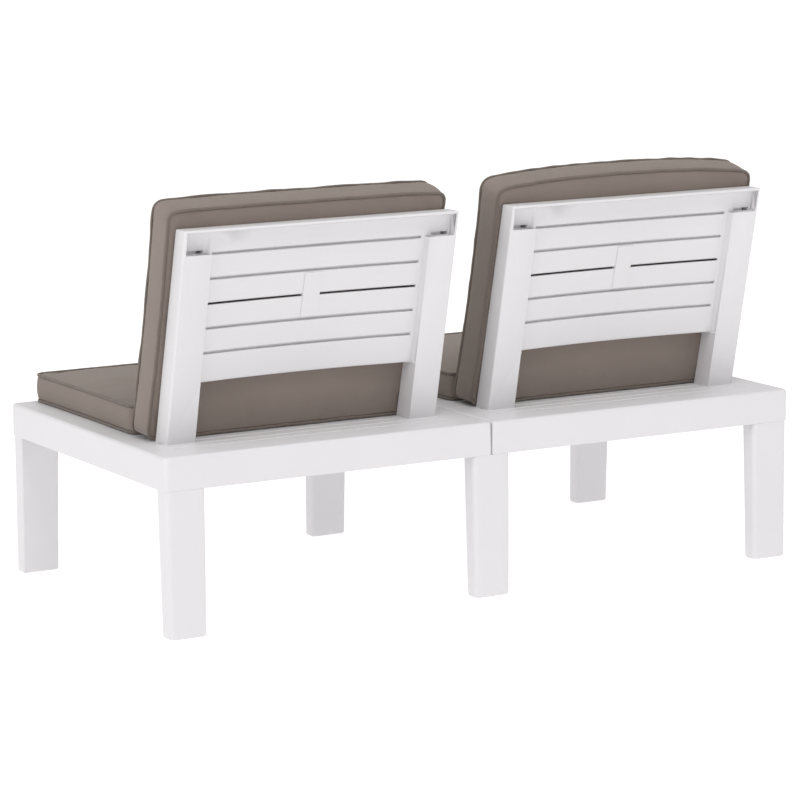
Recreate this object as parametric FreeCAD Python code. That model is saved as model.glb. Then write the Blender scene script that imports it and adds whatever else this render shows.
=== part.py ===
import FreeCAD, Part
import math
import os

from FreeCAD import Rotation, Vector

# A modular garden bench for two. All sizes are in millimetres, +Z is up, the origin is on the floor at
# the middle of the bench, and the bench faces -Y. "Left" is the sitter's left, +X.

# Overall sizes
bench_width = 1180.0
bench_depth = 580.0
deck_top = 288.5
apron_height = 54.0
module_gap = 1.0          # between the two aprons at their lower edge
joint_flare = 1.0         # how far each joint face leans back by the top of the deck

# Deck moulding
apron_wall = 3.0
joint_wall = 5.0
plate = 4.0
outer_corner_radius = 9.0
inner_corner_radius = 4.0
deck_edge_radius = 5.0
apron_edge_radius = 1.0    # along the apron's lower edge
rib_thickness = 2.6
rib_depth = 30.0
border = 46.0             # plain edge round the slatted middle
slat_pitch = 27.0
deck_groove_width = 5.0
deck_groove_depth = 2.5
deck_groove_bevel = 0.6
socket_wall = 2.6
fit_gap = 0.3             # between a plug or tongue and its socket

# Legs
leg_width = 69.0
foot_width = 65.0
leg_depth = 33.0
foot_depth = 29.0
leg_side_inset = 2.0      # from the apron's end
leg_face_inset = 0.5      # from the apron's long face
foot_splay = 3.5          # how far the foot stands out beyond the leg's top
leg_wall = 3.0
leg_outer_edge = 8.0      # rounding of the two edges that face outwards
leg_corner_edge = 9.0     # and of the one under the deck's corner
leg_inner_edge = 3.5
foot_bevel = 2.5
plug_height = 34.0
plug_wall = 2.6
plug_edge = 2.0
plug_shoulder = 5.5       # how far the plug stands in from the leg's own inner faces

# Backrests
backrest_width = 489.0
backrest_top = 634.0
post_width = 50.0
post_front_y = 154.0      # where the posts' front faces meet the deck
front_lean = 0.249        # run over rise of the front faces
post_depth = 42.0         # horizontal, at the deck
back_lean = 0.226
post_wall = 3.5
ledge_height = 594.0      # top of the posts' proud backs
rim = 5.0
panel_bottom = 384.0
panel_recess = 14.0       # from the posts' backs to the panel, beside the posts
panel_thickness = 9.0
panel_bow_bottom = 14.0   # how far the panel's middle stands forward, at its lower edge
panel_bow_top = 4.0
slat_groove_heights = (593.0, 552.5, 512.0, 472.0, 431.5)
through_slot = 2          # the groove that is cut right through
slat_groove_width = 3.6
slat_groove_depth = 6.5
slat_lip = 2.0            # bevel on each slat's lower edge
slat_shoulder = 0.8       # bevel on each slat's upper edge
bevel_overrun = 0.5       # each bevel runs on this far out of the panel's face
slat_groove_end = 7.0     # plain stretch between a groove's end and the post
central_rib_width = 30.0
central_rib_proud = 1.5
window_width = 30.0       # a shallow recess over each post's ledge, on the same side on both modules
window_height = 5.5
window_sill = 0.5
window_depth = 5.0
window_reach = 17.0
window_hole = 9.0         # its inner end goes right into the hollow behind
post_edge = 3.0
top_edge = 2.5
gap_edge = 4.0
tongue_width = 40.0
tongue_depth = 26.0
tongue_length = 46.0
tongue_chamfer = 2.0

# Cushions
cushion_clearance = 0.4
seat_cushion_width = 500.0
seat_cushion_shift = 5.0  # the loose cushions lie a little to the sitter's left
seat_cushion_thickness = 48.0
seat_cushion_front_inset = 2.0
seat_cushion_gap = 2.0    # behind the seat cushion
left_back_cushion_width = 500.0
left_back_cushion_shift = 10.0
right_back_cushion_width = 504.0
right_back_cushion_shift = 4.0
back_cushion_thickness = 58.0
back_cushion_length = 389.0
cushion_corner_radius = 16.0
cushion_edge_radius = 7.0
cover_thickness = 1.5
foam_gap = 0.2
piping_radius = 2.6
zip_length = 400.0
zip_width = 9.0
zip_thickness = 1.4
zip_gap = 0.05
slider_length = 12.0
slider_width = 7.0
slider_thickness = 2.2

# Fasteners
screw_radius = 2.0
screw_length = 15.0
head_radius = 4.0
head_height = 2.4
screw_hole_gap = 0.1
screw_point_radius = 0.4
hole_overrun = 0.5        # how far a hole's cutter runs past the wall it goes through
clip_length = 44.0
clip_height = 30.0
clip_wall = 2.6
clip_gap = 0.2            # under the joint walls
clip_edge = 1.5
clip_y = 120.0

# Places that follow from the sizes above
half_width = bench_width / 2
half_depth = bench_depth / 2
apron_bottom = deck_top - apron_height
plate_bottom = deck_top - plate
joint_face = module_gap / 2
joint_inside = joint_face + joint_wall
module_middle = half_width / 2
screw_hole_radius = screw_radius + screw_hole_gap
front_tilt = math.degrees(math.atan(front_lean))

# How far cutters run past what they cut
panel_reach = 150.0
rail_reach = 60.0
smallest_radius = 1.0


def block(x0, x1, y0, y1, z0, z1):
    """A plain box between two corners."""
    return Part.makeBox(x1 - x0, y1 - y0, z1 - z0, Vector(x0, y0, z0))


def prism_along(axis, points, start, length):
    """A closed outline of (u, v) points, pushed along X (outline in YZ) or along Y (outline in XZ)."""
    if axis == "X":
        corners = [Vector(start, u, v) for u, v in points]
        push = Vector(length, 0, 0)
    else:
        corners = [Vector(u, start, v) for u, v in points]
        push = Vector(0, length, 0)
    return Part.Face(Part.makePolygon(corners + corners[:1])).extrude(push)


def rounded_outline(x0, x1, y0, y1, z, radii):
    """A level rectangle with its own radius at each corner: (x0,y0), (x1,y0), (x1,y1), (x0,y1)."""
    r00, r10, r11, r01 = radii
    corners = [
        (x0 + r00, y0 + r00, r00, 180), (x1 - r10, y0 + r10, r10, 270),
        (x1 - r11, y1 - r11, r11, 0), (x0 + r01, y1 - r01, r01, 90),
    ]
    arcs = []
    for cx, cy, radius, start in corners:
        ends = []
        for degrees in (start, start + 45, start + 90):
            turn = math.radians(degrees)
            ends.append(Vector(cx + radius * math.cos(turn), cy + radius * math.sin(turn), z))
        arcs.append(ends)
    edges = []
    for i, ends in enumerate(arcs):
        edges.append(Part.Arc(*ends).toShape())
        edges.append(Part.LineSegment(ends[2], arcs[(i + 1) % 4][0]).toShape())
    return Part.Wire(edges)


def loft(outlines):
    """A solid through level outlines, straight between one and the next."""
    return Part.makeLoft(outlines, True, True)


def mirrored(shape):
    """The same piece on the other side of the bench."""
    return shape.mirror(Vector(0, 0, 0), Vector(1, 0, 0))


def edges_where(shape, test):
    """The edges whose every end passes a test on its position."""
    return [e for e in shape.Edges if len(e.Vertexes) > 1 and all(test(v) for v in e.Vertexes)]


def near(a, b):
    return abs(a - b) < 0.01


# The plug on top of each leg, and the socket in the deck that takes it

def plug_box(column, end):
    """x0, x1, y0, y1 of the plug that goes into the left deck; end is +1 at the back and -1 at the front."""
    if column == "corner":
        x1 = half_width - apron_wall - fit_gap
        x0 = half_width - leg_side_inset - leg_width + plug_shoulder
    else:
        x0 = joint_inside + fit_gap
        x1 = leg_width / 2 - plug_shoulder + 2 * fit_gap
    outer = half_depth - apron_wall - fit_gap
    inner = half_depth - leg_face_inset - leg_depth + plug_shoulder
    y0, y1 = sorted((end * outer, end * inner))
    return x0, x1, y0, y1


PLUGS = [(column, end) for column in ("corner", "centre") for end in (1, -1)]


def plug_outline(column, end, z, grow):
    """The plug's outline, grown by a gap or shrunk by a wall; only its outer corner is rounded."""
    x0, x1, y0, y1 = plug_box(column, end)
    radii = [plug_edge] * 4
    if column == "corner":
        radii[2 if end > 0 else 1] = max(outer_corner_radius - apron_wall + grow, plug_edge)
    return rounded_outline(x0 - grow, x1 + grow, y0 - grow, y1 + grow, z, radii)


def leg_screw_place(column, end):
    """Where a leg screw's head bears on the socket wall, and the way it is driven."""
    x0, x1, y0, y1 = plug_box(column, end)
    inner = y0 if end > 0 else y1
    place = Vector((x0 + x1) / 2, inner - end * (fit_gap + socket_wall), apron_bottom + plug_height / 2)
    return place, Vector(0, end, 0)


def tongue_middles():
    """The two tongues' middles, (x, y), on the left backrest."""
    y = post_front_y + post_depth / 2
    offset = backrest_width / 2 - post_width / 2
    return [(module_middle - offset, y), (module_middle + offset, y)]


def backrest_screw_place(x, y):
    """Where a backrest screw's head bears, on the front wall of the tongue's socket."""
    place = Vector(x, y - tongue_depth / 2 - fit_gap - socket_wall, deck_top - tongue_length * 0.6)
    return place, Vector(0, 1, 0)


def screw(place, way):
    """A pan-head self-tapping screw whose head bears at a place."""
    head = Part.makeCylinder(head_radius, head_height, place - way * head_height, way)
    rounded = [e for e in head.Edges if e.Curve.TypeId == "Part::GeomCircle"
               and near((e.Curve.Center - (place - way * head_height)).Length, 0)]
    head = head.makeFillet(head_height * 0.45, rounded)
    shank = Part.makeCylinder(screw_radius, screw_length - screw_radius, place, way)
    point = Part.makeCone(screw_radius, screw_point_radius, screw_radius,
                          place + way * (screw_length - screw_radius), way)
    return head.fuse([shank, point]).removeSplitter()


def screw_hole(place, way, length):
    """The round hole that a screw passes through."""
    start = place - way * hole_overrun
    return Part.makeCylinder(screw_hole_radius, length + hole_overrun, start, way)


# Deck: an upside-down tray with ribs, leg sockets and backrest sockets under its plate

def deck_groove(y):
    """The cutter for one groove between two of the deck's slats, with a bevel along its upper edges."""
    half = deck_groove_width / 2
    wide = half + deck_groove_bevel + 1
    low, shoulder = deck_top - deck_groove_depth, deck_top - deck_groove_bevel
    profile = [(y - half, low), (y + half, low), (y + half, shoulder), (y + wide, deck_top + 1),
               (y - wide, deck_top + 1), (y - half, shoulder)]
    return prism_along("X", profile, border, half_width - 2 * border)


def deck():
    profile = [(joint_face, apron_bottom), (half_width, apron_bottom),
               (half_width, deck_top), (joint_face + joint_flare, deck_top)]
    body = prism_along("Y", profile, -half_depth, bench_depth)
    outer_uprights = edges_where(body, lambda v: near(v.X, half_width))
    outer_uprights = [e for e in outer_uprights if not near(e.Vertexes[0].Z, e.Vertexes[1].Z)]
    body = body.makeFillet(outer_corner_radius, outer_uprights)
    joint_uprights = [e for e in edges_where(body, lambda v: v.X < joint_face + joint_flare + 0.01)
                      if not near(e.Vertexes[0].Z, e.Vertexes[1].Z)]
    body = body.makeFillet(inner_corner_radius, joint_uprights)
    body = body.makeFillet(deck_edge_radius, edges_where(body, lambda v: near(v.Z, deck_top)))
    body = body.makeFillet(apron_edge_radius, edges_where(body, lambda v: near(v.Z, apron_bottom)))

    inside = (joint_inside, half_width - apron_wall, -half_depth + apron_wall, half_depth - apron_wall)
    outer_radius = outer_corner_radius - apron_wall
    radii = (inner_corner_radius, outer_radius, outer_radius, inner_corner_radius)
    hollow = loft([rounded_outline(*inside, z, radii) for z in (apron_bottom - 1, plate_bottom)])
    body = body.cut(hollow)

    x0, x1, y0, y1 = inside
    rib_top = plate_bottom + 1
    rib_bottom = plate_bottom - rib_depth
    thirds = [x0 + (x1 - x0) * share for share in (1 / 3, 2 / 3)]
    under = [block(x - rib_thickness / 2, x + rib_thickness / 2, y0 - 1, y1 + 1, rib_bottom, rib_top)
             for x in thirds]
    under.append(block(x0 - 1, x1 + 1, -rib_thickness / 2, rib_thickness / 2, rib_bottom, rib_top))

    pockets = []
    for column, end in PLUGS:
        wall = fit_gap + socket_wall
        px0, px1, py0, py1 = plug_box(column, end)
        solid = block(max(px0 - wall, x0 - 1), min(px1 + wall, x1 + 1),
                      max(py0 - wall, y0 - 1), min(py1 + wall, y1 + 1), apron_bottom, rib_top)
        radii = (plug_edge, outer_radius + 1, outer_radius + 1, plug_edge)
        tray = [rounded_outline(x0 - 1, x1 + 1, y0 - 1, y1 + 1, z, radii) for z in (apron_bottom, rib_top)]
        under.append(solid.common(loft(tray)))
        pocket_top = apron_bottom + plug_height + fit_gap
        pockets.append(loft([plug_outline(column, end, z, fit_gap) for z in (apron_bottom - 1, pocket_top)]))
        place, way = leg_screw_place(column, end)
        pockets.append(screw_hole(place, way, socket_wall + fit_gap + hole_overrun))
    for x, y in tongue_middles():
        half_x = tongue_width / 2 + fit_gap
        half_y = tongue_depth / 2 + fit_gap
        bottom = deck_top - tongue_length
        under.append(block(x - half_x - socket_wall, x + half_x + socket_wall,
                           y - half_y - socket_wall, y + half_y + socket_wall, bottom, rib_top))
        pockets.append(block(x - half_x, x + half_x, y - half_y, y + half_y, bottom - 1, deck_top + 1))
        place, way = backrest_screw_place(x, y)
        pockets.append(screw_hole(place, way, socket_wall + fit_gap + hole_overrun))

    body = body.fuse(under)
    groove_start = -half_depth + border
    count = int((bench_depth - 2 * border) / slat_pitch)
    first = -(count - 1) * slat_pitch / 2
    for i in range(count):
        y = first + i * slat_pitch
        if y > groove_start:
            pockets.append(deck_groove(y))
    body = body.cut(pockets)
    return body.removeSplitter()


# Legs: hollow tapered boxes with a closed foot and a plug on top

def leg(column, end):
    outer_corner = 2 if end > 0 else 1
    outward = (2, 3) if end > 0 else (0, 1)

    def section(z, width, depth, splay, shrink):
        if column == "corner":
            x1 = half_width - leg_side_inset - (leg_width - width) / 2
        else:
            x1 = width / 2
        x0 = x1 - width
        outer = end * (half_depth - leg_face_inset + splay)
        y0, y1 = sorted((outer, outer - end * depth))
        edges = [leg_outer_edge if i in outward else leg_inner_edge for i in range(4)]
        if column == "corner":
            edges[outer_corner] = leg_corner_edge
        radii = [max(edge - shrink, smallest_radius) for edge in edges]
        return rounded_outline(x0 + shrink, x1 - shrink, y0 + shrink, y1 - shrink, z, radii)

    top = apron_bottom
    foot = (foot_width, foot_depth, foot_splay)
    body = loft([section(0, *foot, foot_bevel), section(foot_bevel, *foot, 0),
                 section(top, leg_width, leg_depth, 0, 0)])
    plug_low, plug_high = top - plug_shoulder, top + plug_height
    plug = loft([plug_outline(column, end, z, 0) for z in (plug_low, plug_high)])
    plug_hollow = loft([plug_outline(column, end, z, -plug_wall) for z in (top - leg_wall - 1, plug_high + 1)])
    leg_hollow = loft([section(foot_bevel + leg_wall, *foot, leg_wall),
                       section(top - leg_wall, leg_width, leg_depth, 0, leg_wall)])
    place, way = leg_screw_place(column, end)
    hole = screw_hole(place + way * socket_wall, way, fit_gap + plug_wall + hole_overrun)
    plugs, hollows = [plug], [plug_hollow, leg_hollow, hole]
    if column == "centre":
        plugs.append(mirrored(plug))
        hollows += [mirrored(plug_hollow), mirrored(hole)]
    return body.fuse(plugs).cut(hollows).removeSplitter()


# Backrest: two hollow posts, a bowed slatted panel between them and a rim round the outside

def front_y(z):
    return post_front_y + front_lean * (z - deck_top)


def back_y(z):
    return post_front_y + post_depth + back_lean * (z - deck_top)


def panel_slab(side, offsets, z0, z1, x0, x1):
    """Everything behind (side +1) or ahead of (side -1) a bowed sheet that lies inside the panel's back.

    The two offsets say how far inside it lies, at the lower and the upper height.
    """
    middle = (x0 + x1) / 2
    outlines = []
    for z, offset in ((z0, offsets[0]), (z1, offsets[1])):
        share = (z - panel_bottom) / (backrest_top - panel_bottom)
        bow = panel_bow_bottom + (panel_bow_top - panel_bow_bottom) * share
        y = back_y(z) - panel_recess - offset
        far = y + side * panel_reach
        arc = Part.Arc(Vector(x0, y, z), Vector(middle, y - bow, z), Vector(x1, y, z)).toShape()
        rest = Part.makePolygon([Vector(x1, y, z), Vector(x1, far, z), Vector(x0, far, z), Vector(x0, y, z)])
        outlines.append(Part.Wire([arc] + rest.Edges))
    return loft(outlines)


def backrest():
    x0 = module_middle - backrest_width / 2
    x1 = module_middle + backrest_width / 2
    inner0, inner1 = x0 + post_width, x1 - post_width
    profile = [(front_y(deck_top), deck_top), (back_y(deck_top), deck_top),
               (back_y(backrest_top), backrest_top), (front_y(backrest_top), backrest_top)]
    body = prism_along("X", profile, x0, backrest_width)
    uprights = [e for e in edges_where(body, lambda v: near(v.X, x0) or near(v.X, x1))
                if abs(e.Vertexes[0].Z - e.Vertexes[1].Z) > 1]
    body = body.makeFillet(post_edge, uprights)
    body = body.makeFillet(top_edge, edges_where(body, lambda v: near(v.Z, backrest_top)))

    # the way through under the panel
    gap = block(inner0, inner1, 0, half_depth, deck_top - 1, panel_bottom)
    upper = edges_where(gap, lambda v: near(v.Z, panel_bottom))
    upper = [e for e in upper if near(e.Vertexes[0].X, e.Vertexes[1].X)]
    cuts = [gap.makeFillet(gap_edge, upper)]

    # the hollow behind the panel and the shallow one ahead of it
    cuts.append(panel_slab(1, (0, 0), panel_bottom - 1, backrest_top - rim, inner0, inner1))
    lip_top = panel_bottom + 1.5 * slat_lip
    cuts.append(panel_slab(1, (slat_lip, 0), panel_bottom, lip_top, inner0, inner1))
    ahead = (panel_thickness, panel_thickness)
    cuts.append(panel_slab(-1, ahead, panel_bottom - 1, backrest_top - 3 * rim, inner0, inner1))

    # the top rail carries on over the posts' ledges to the rim
    for a, b in ((x0 + rim, inner0 + 1), (inner1 - 1, x1 - rim)):
        rail = [(back_y(z) - panel_recess, z) for z in (ledge_height, backrest_top - rim)]
        rail += [(y + rail_reach, z) for y, z in reversed(rail)]
        cuts.append(prism_along("X", rail, a, b - a))

    body = body.cut(cuts)

    # slats: shadow grooves, one of them cut through on both sides of the central rib
    deepest = slat_groove_heights[through_slot + 1]
    highest = slat_groove_heights[through_slot - 1]
    low, high = deepest + slat_groove_width / 2, highest - slat_groove_width / 2
    rib = block(module_middle - central_rib_width / 2, module_middle + central_rib_width / 2, 0,
                half_depth + rail_reach, low, high)
    rib = rib.common(panel_slab(-1, (-central_rib_proud,) * 2, low, high, inner0, inner1))
    rib = rib.common(panel_slab(1, (panel_thickness / 2,) * 2, low, high, inner0, inner1))
    body = body.fuse(rib)
    grooves = []
    a, b = inner0 + slat_groove_end, inner1 - slat_groove_end
    for i, z in enumerate(slat_groove_heights):
        z0, z1 = z - slat_groove_width / 2, z + slat_groove_width / 2
        level = (z0 - 2 * (slat_shoulder + bevel_overrun), z0, z1, z1 + slat_lip + bevel_overrun)
        strips = [panel_slab(1, (-bevel_overrun, slat_shoulder), level[0], level[1], inner0, inner1),
                  panel_slab(1, (slat_groove_depth,) * 2, level[1], level[2], inner0, inner1),
                  panel_slab(1, (slat_lip, -bevel_overrun), level[2], level[3], inner0, inner1)]
        stretches = [(a, b)]
        if i == through_slot:
            strips[1] = block(a, b, 0, half_depth + rail_reach, z0, z1)
            half_rib = central_rib_width / 2
            stretches = [(a, module_middle - half_rib), (module_middle + half_rib, b)]
        for left, right in stretches:
            reach = block(left, right, 0, half_depth + rail_reach, level[0] - 1, level[3] + 1)
            grooves += [strip.common(reach) for strip in strips]

    # posts: a hollow that runs up from the tongue, and a window over the ledge
    solids = []
    for x, y in tongue_middles():
        low = deck_top - tongue_length
        tongue = block(x - tongue_width / 2, x + tongue_width / 2, y - tongue_depth / 2, y + tongue_depth / 2,
                       low, deck_top + 1)
        lower = edges_where(tongue, lambda v: near(v.Z, low))
        solids.append(tongue.makeChamfer(tongue_chamfer, lower))
        wall = post_wall
        half_x, half_y = tongue_width / 2 - wall, tongue_depth / 2 - wall
        floor, high = deck_top + wall, ledge_height - wall
        grooves.append(block(x - half_x, x + half_x, y - half_y, y + half_y, low - 1, floor + 1))
        core = [(front_y(floor) + wall, floor), (back_y(floor) - wall, floor),
                (back_y(high) - wall, high), (front_y(high) + wall, high)]
        core_width = post_width - 2 * wall
        grooves.append(prism_along("X", core, x - core_width / 2, core_width))
        face = back_y(ledge_height) - panel_recess
        sill = ledge_height + window_sill
        grooves.append(block(x - window_width / 2, x + window_width / 2, face - window_depth,
                             half_depth + rail_reach, sill, sill + window_height))
        grooves.append(block(x - window_width / 2, x - window_width / 2 + window_hole, face - window_reach,
                             half_depth + rail_reach, sill, sill + window_height))
        place, way = backrest_screw_place(x, y)
        grooves.append(screw_hole(place + way * socket_wall, way, fit_gap + post_wall + hole_overrun))
    return body.fuse(solids).cut(grooves).removeSplitter()


# Joining clip: a U that straddles the two joint walls from below

def joining_clip(y):
    inside = joint_inside + fit_gap
    low = apron_bottom - clip_wall - clip_gap
    body = block(-inside - clip_wall, inside + clip_wall, y - clip_length / 2, y + clip_length / 2,
                 low, low + clip_wall + clip_height)
    slot = block(-inside, inside, y - clip_length, y + clip_length, low + clip_wall, low + clip_height * 2)
    ends = [e for e in edges_where(body, lambda v: near(v.Z, low)) if near(e.Vertexes[0].X, e.Vertexes[1].X)]
    return body.makeFillet(clip_edge, ends).cut(slot)


# Cushions: each is made lying flat round its own origin, then put in its place

def rounded_box(width, length, thickness, corner, edge):
    """A pad centred in X, with Y from 0 to its length and Z from 0 to its thickness."""
    outline = rounded_outline(-width / 2, width / 2, 0, length, 0, (corner,) * 4)
    pad = Part.Face(outline).extrude(Vector(0, 0, thickness))
    rims = edges_where(pad, lambda v: near(v.Z, 0)) + edges_where(pad, lambda v: near(v.Z, thickness))
    return pad.makeFillet(edge, rims)


def piping_loop(width, length, z):
    """A round cord laid along the edge of a pad: four straight runs and four quarter rings."""
    r = cushion_corner_radius
    x, y0, y1 = width / 2, 0.0, length
    pieces = []
    runs = [(Vector(-x + r, y0, z), Vector(1, 0, 0), width - 2 * r),
            (Vector(-x + r, y1, z), Vector(1, 0, 0), width - 2 * r),
            (Vector(-x, y0 + r, z), Vector(0, 1, 0), length - 2 * r),
            (Vector(x, y0 + r, z), Vector(0, 1, 0), length - 2 * r)]
    for start, way, run in runs:
        pieces.append(Part.makeCylinder(piping_radius, run, start, way))
    for cx, cy, turn in ((x - r, y1 - r, 0), (-x + r, y1 - r, 90), (-x + r, y0 + r, 180), (x - r, y0 + r, 270)):
        quarter = Part.makeTorus(r, piping_radius, Vector(0, 0, 0), Vector(0, 0, 1), 0, 360, 90)
        quarter.Placement = FreeCAD.Placement(Vector(cx, cy, z), Rotation(Vector(0, 0, 1), turn))
        pieces.append(quarter)
    return pieces[0].fuse(pieces[1:]).removeSplitter()


def cushion(width, length, thickness, low_face, high_face):
    """The pieces of one boxed cushion: cover, foam, two lines of piping, and a zip in its far side."""
    inner_width, inner_length = width - 2 * piping_radius, length - 2 * piping_radius
    inner_thickness = thickness - 2 * piping_radius
    edge = cushion_edge_radius

    def centred(shape):
        shape.translate(Vector(0, piping_radius, piping_radius))
        return shape

    outer = rounded_box(inner_width, inner_length, inner_thickness, cushion_corner_radius, edge)
    t = cover_thickness
    inner = rounded_box(inner_width - 2 * t, inner_length - 2 * t, inner_thickness - 2 * t,
                        cushion_corner_radius - t, edge - t)
    inner.translate(Vector(0, t, t))
    t += foam_gap
    foam = rounded_box(inner_width - 2 * t, inner_length - 2 * t, inner_thickness - 2 * t,
                       cushion_corner_radius - t, edge - t)
    foam.translate(Vector(0, t, t))
    # a fillet of this radius leaves just room for the cord at the pad's edge
    low_piping = piping_loop(inner_width, inner_length, 0)
    high_piping = piping_loop(inner_width, inner_length, inner_thickness)
    far = inner_length
    near_face, middle = far + zip_gap, inner_thickness / 2
    tape = block(-zip_length / 2, zip_length / 2, near_face, near_face + zip_thickness,
                 middle - zip_width / 2, middle + zip_width / 2)
    slider_start = zip_length / 2 + 1
    slider = block(slider_start, slider_start + slider_length, near_face, near_face + slider_thickness,
                   middle - slider_width / 2, middle + slider_width / 2)
    return {"cover": centred(outer.cut(inner)), "foam": centred(foam),
            f"piping_{low_face}": centred(low_piping), f"piping_{high_face}": centred(high_piping),
            "zip": centred(tape), "zip_slider": centred(slider)}


def seat_cushion(side):
    """On the deck, with its front edge over the deck's front edge and its zip at the rear."""
    front = -half_depth + seat_cushion_front_inset
    rear = back_cushion_foot() - seat_cushion_gap
    pieces = cushion(seat_cushion_width, rear - front, seat_cushion_thickness, "bottom", "top")
    corner = Vector(side * module_middle + seat_cushion_shift, front, deck_top + cushion_clearance)
    return placed(pieces, FreeCAD.Placement(corner, Rotation()))


def back_cushion_foot():
    """The lowest part of the back cushions' front faces, in Y."""
    tilt = math.radians(front_tilt)
    rise = back_cushion_thickness * math.sin(tilt)
    back_line = front_y(deck_top + cushion_clearance + rise) - cushion_clearance / math.cos(tilt)
    return back_line - front_lean * rise - back_cushion_thickness / math.cos(tilt)


def back_cushion(side):
    """Leaning on the posts, with its zip at the bottom. Flat, its Z is the way it faces backwards."""
    width = left_back_cushion_width if side > 0 else right_back_cushion_width
    shift = left_back_cushion_shift if side > 0 else right_back_cushion_shift
    pieces = cushion(width, back_cushion_length, back_cushion_thickness, "front", "back")
    tilt = math.radians(front_tilt)
    # flat +Y goes down the slope, flat +Z goes back; X turns round with them
    down = Vector(0, -math.sin(tilt), -math.cos(tilt))
    back = Vector(0, math.cos(tilt), -math.sin(tilt))
    turn = Rotation(down.cross(back), down, back, "ZXY")
    foot_z = deck_top + cushion_clearance
    heel = Vector(side * module_middle + shift,
                  front_y(foot_z) - cushion_clearance / math.cos(tilt), foot_z)
    corner = heel - back * back_cushion_thickness - down * back_cushion_length
    return placed(pieces, FreeCAD.Placement(corner, turn))


def placed(pieces, placement):
    for shape in pieces.values():
        shape.Placement = placement.multiply(shape.Placement)
    return pieces


def side_name(side):
    return "left" if side > 0 else "right"


def main():
    os.makedirs("parts", exist_ok=True)
    nodes = {}
    left_deck, left_backrest = deck(), backrest()
    nodes["deck_left"] = left_deck
    nodes["deck_right"] = mirrored(left_deck)
    nodes["backrest_left"] = left_backrest
    nodes["backrest_right"] = left_backrest.translated(Vector(-2 * module_middle, 0, 0))

    leg_screws = []
    for end, where in ((1, "back"), (-1, "front")):
        corner = leg("corner", end)
        nodes[f"leg_{where}_left"] = corner
        nodes[f"leg_{where}_right"] = mirrored(corner)
        nodes[f"leg_{where}_centre"] = leg("centre", end)
        for column in ("corner", "centre"):
            driven = screw(*leg_screw_place(column, end))
            leg_screws += [driven, mirrored(driven)]
    nodes["leg_screws"] = Part.makeCompound(leg_screws)

    backrest_screws = []
    for x, y in tongue_middles():
        driven = screw(*backrest_screw_place(x, y))
        backrest_screws += [driven, mirrored(driven)]
    nodes["backrest_screws"] = Part.makeCompound(backrest_screws)
    nodes["joining_clip_front"] = joining_clip(-clip_y)
    nodes["joining_clip_back"] = joining_clip(clip_y)

    for side in (1, -1):
        for kind, make in (("seat", seat_cushion), ("back", back_cushion)):
            for piece, shape in make(side).items():
                nodes[f"{kind}_cushion_{side_name(side)}_{piece}"] = shape

    for name, shape in nodes.items():
        box = shape.optimalBoundingBox(True, False)
        print(f"{name:34s} solids {len(shape.Solids)} valid {shape.isValid()} "
              f"volume {shape.Volume / 1000:9.1f} cm3 "
              f"x {box.XMin:7.1f} {box.XMax:7.1f} y {box.YMin:7.1f} {box.YMax:7.1f} "
              f"z {box.ZMin:6.1f} {box.ZMax:6.1f}")
        shape.exportStep(f"parts/{name}.step")


main()
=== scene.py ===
import math

import bmesh
import bpy
import numpy as np
from mathutils import Matrix, Vector


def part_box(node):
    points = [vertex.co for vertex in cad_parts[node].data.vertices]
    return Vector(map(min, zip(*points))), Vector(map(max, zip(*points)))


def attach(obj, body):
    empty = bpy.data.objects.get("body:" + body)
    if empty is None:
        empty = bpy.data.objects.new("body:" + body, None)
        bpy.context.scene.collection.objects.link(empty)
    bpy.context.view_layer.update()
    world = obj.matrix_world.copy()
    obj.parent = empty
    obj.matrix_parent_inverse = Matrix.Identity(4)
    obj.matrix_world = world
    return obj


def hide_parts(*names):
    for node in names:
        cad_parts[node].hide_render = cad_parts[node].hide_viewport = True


# A modular garden bench for two, in metres: two white polypropylene seats clipped side by side,
# each with its own backrest and a loose seat and back cushion. It faces -Y; the sitter's left is +X.
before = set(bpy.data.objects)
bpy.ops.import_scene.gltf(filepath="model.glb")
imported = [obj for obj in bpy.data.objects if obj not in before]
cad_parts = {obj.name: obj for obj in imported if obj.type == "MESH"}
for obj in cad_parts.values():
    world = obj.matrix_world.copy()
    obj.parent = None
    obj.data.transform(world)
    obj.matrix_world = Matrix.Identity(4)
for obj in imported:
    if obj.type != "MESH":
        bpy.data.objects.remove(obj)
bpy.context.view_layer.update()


# Camera. It stands behind the bench on the sitter's left, a little above the backrests,
# with a long lens, so that the back of both seats shows.
camera_place = Vector((2.9171, 5.0575, 1.3058))
camera_elevation = math.radians(9.95)
camera_azimuth = math.radians(150.065)
camera_roll = math.radians(-0.372)
camera_lens = 158.02

camera = bpy.data.objects.new("camera", bpy.data.cameras.new("camera"))
camera.data.sensor_width = 36.0
camera.data.lens = camera_lens
camera.data.clip_end = 200.0
towards_camera = Vector((math.sin(camera_azimuth) * math.cos(camera_elevation),
                         -math.cos(camera_azimuth) * math.cos(camera_elevation),
                         math.sin(camera_elevation)))
level_right = (-towards_camera).cross(Vector((0, 0, 1))).normalized()
level_up = towards_camera.cross(level_right)
right = level_right * math.cos(camera_roll) + level_up * math.sin(camera_roll)
up = level_up * math.cos(camera_roll) - level_right * math.sin(camera_roll)
camera.matrix_world = Matrix.Translation(camera_place) @ Matrix((
    (right.x, up.x, towards_camera.x, 0), (right.y, up.y, towards_camera.y, 0),
    (right.z, up.z, towards_camera.z, 0), (0, 0, 0, 1)))
bpy.context.collection.objects.link(camera)
bpy.context.scene.camera = camera


# Studio: a white floor that runs out of sight, a white surround, a large soft box on the
# sitter's left and another high above the backs.
floor_half = 45.0
surround_strength = 0.64
soft_boxes = {
    "side_soft_box": ((4.2, 0.4, 2.0), (2.4, 2.4), 36.0),
    "overhead_soft_box": ((0.4, 2.6, 4.4), (3.0, 2.4), 84.0),
}

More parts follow.
